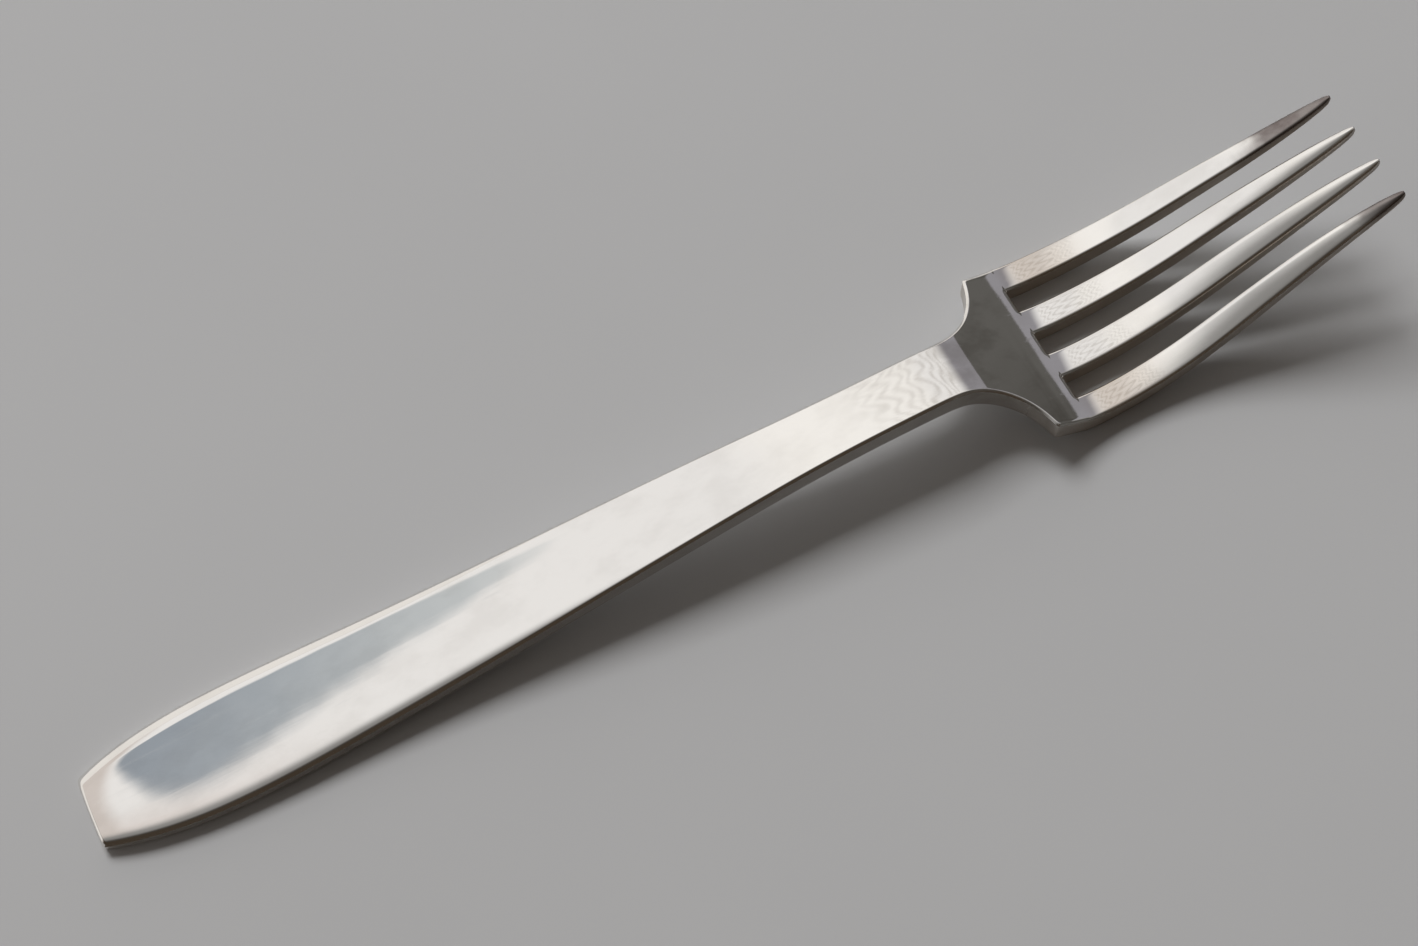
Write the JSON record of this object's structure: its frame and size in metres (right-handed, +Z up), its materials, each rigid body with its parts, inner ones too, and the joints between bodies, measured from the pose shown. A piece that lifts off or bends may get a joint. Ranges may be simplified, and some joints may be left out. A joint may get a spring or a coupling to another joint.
{
  "type": "dinner fork",
  "caption": "Polished silver dinner fork with a flat, softly swelling handle, a square-cut end, a slim arched neck, square shoulders and long curved tapering tines.",
  "frame": {"origin": "On the table, under the middle of the fork's length and width, with the fork lying face up at rest on the flat of its handle end and on the heel of its tines.", "axes": "+X along the fork from the handle to the tips, +Y across it, +Z up from the table."},
  "size_m": [0.2004, 0.028, 0.0185],
  "materials": {
    "silver": "polished silver plate with fine wear"
  },
  "bodies": {
    "root": {"handle": "silver", "neck": "silver", "root": "silver", "tine_1": "silver", "tine_2": "silver", "tine_3": "silver", "tine_4": "silver"}
  },
  "joints": []
}
